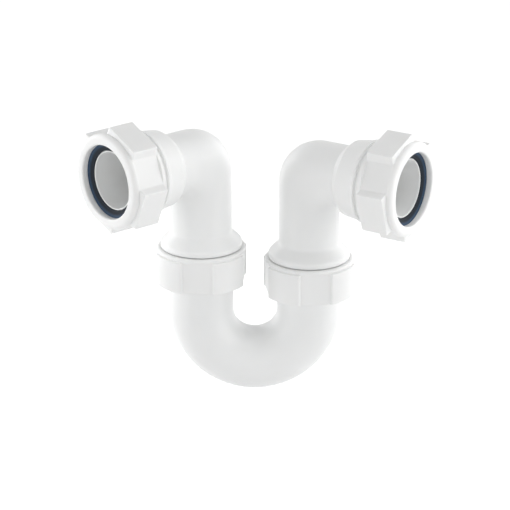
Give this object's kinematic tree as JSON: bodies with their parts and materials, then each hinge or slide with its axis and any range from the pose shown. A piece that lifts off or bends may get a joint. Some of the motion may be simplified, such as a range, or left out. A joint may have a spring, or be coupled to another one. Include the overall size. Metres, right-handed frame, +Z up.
{
  "type": "running trap",
  "caption": "White plastic running trap: a U-bend whose union nuts carry swivel elbows, each ending in a pipe socket with a lugged compression nut and rubber seal.",
  "frame": {"origin": "centre of the inlet socket's mouth, on the axis of the inlet elbow's arm", "axes": "+Z up, +X from the inlet leg to the outlet leg, -Y towards the front, to which both elbows are turned"},
  "size_m": [0.209, 0.0933, 0.1783],
  "materials": {
    "white_plastic": "smooth moulded polypropylene, satin white",
    "seal_rubber": "matt blue-black moulded rubber",
    "washer_rubber": "matt black flat rubber"
  },
  "bodies": {
    "u_bend": {"u_bend": "white_plastic"},
    "inlet_union_nut": {"inlet_union_nut": "white_plastic"},
    "inlet_union_washer": {"inlet_union_washer": "washer_rubber"},
    "inlet_elbow": {"inlet_elbow": "white_plastic"},
    "inlet_seal": {"inlet_seal": "seal_rubber"},
    "inlet_compression_nut": {"inlet_compression_nut": "white_plastic"},
    "outlet_union_nut": {"outlet_union_nut": "white_plastic"},
    "outlet_union_washer": {"outlet_union_washer": "washer_rubber"},
    "outlet_elbow": {"outlet_elbow": "white_plastic"},
    "outlet_seal": {"outlet_seal": "seal_rubber"},
    "outlet_compression_nut": {"outlet_compression_nut": "white_plastic"}
  },
  "joints": [
    {"name": "inlet_union_nut_turn", "type": "hinge", "parent": "u_bend", "child": "inlet_union_nut", "pos_m": [0.05054, 0.03991, -0.0763], "axis": [0, 0, -1], "range_deg": [0, 1080]},
    {"name": "inlet_union_lift", "type": "slide", "parent": "u_bend", "child": "inlet_union_washer", "axis": [0, 0, 1], "range_m": [0, 0.009]},
    {"name": "inlet_elbow_swivel", "type": "hinge", "parent": "inlet_union_washer", "child": "inlet_elbow", "pos_m": [0.05054, 0.03991, 0], "axis": [0, 0, 1], "range_deg": [-126.3, 49.7]},
    {"name": "inlet_seal_slide", "type": "slide", "parent": "inlet_elbow", "child": "inlet_seal", "axis": [-0.7848, -0.6198, 0], "range_m": [0, 0.009]},
    {"name": "inlet_compression_nut_turn", "type": "hinge", "parent": "inlet_seal", "child": "inlet_compression_nut", "pos_m": [0, 0, 0], "axis": [-0.7848, -0.6198, 0], "range_deg": [0, 1080]},
    {"name": "outlet_union_nut_turn", "type": "hinge", "parent": "u_bend", "child": "outlet_union_nut", "pos_m": [0.11454, 0.03991, -0.0843], "axis": [0, 0, -1], "range_deg": [0, 1080]},
    {"name": "outlet_union_lift", "type": "slide", "parent": "u_bend", "child": "outlet_union_washer", "axis": [0, 0, 1], "range_m": [0, 0.009]},
    {"name": "outlet_elbow_swivel", "type": "hinge", "parent": "outlet_union_washer", "child": "outlet_elbow", "pos_m": [0.11454, 0.03991, -0.008], "axis": [0, 0, 1], "range_deg": [-53.8, 122.2]},
    {"name": "outlet_seal_slide", "type": "slide", "parent": "outlet_elbow", "child": "outlet_seal", "axis": [0.8271, -0.5621, 0], "range_m": [0, 0.009]},
    {"name": "outlet_compression_nut_turn", "type": "hinge", "parent": "outlet_seal", "child": "outlet_compression_nut", "pos_m": [0.1678, 0.00372, -0.008], "axis": [0.8271, -0.5621, 0], "range_deg": [0, 1080]}
  ],
  "couplings": [
    {"joint": "inlet_union_nut_turn", "follows": "inlet_union_lift", "rad_per_m": 2094.4},
    {"joint": "inlet_compression_nut_turn", "follows": "inlet_seal_slide", "rad_per_m": 2094.4},
    {"joint": "outlet_union_nut_turn", "follows": "outlet_union_lift", "rad_per_m": 2094.4},
    {"joint": "outlet_compression_nut_turn", "follows": "outlet_seal_slide", "rad_per_m": 2094.4}
  ]
}
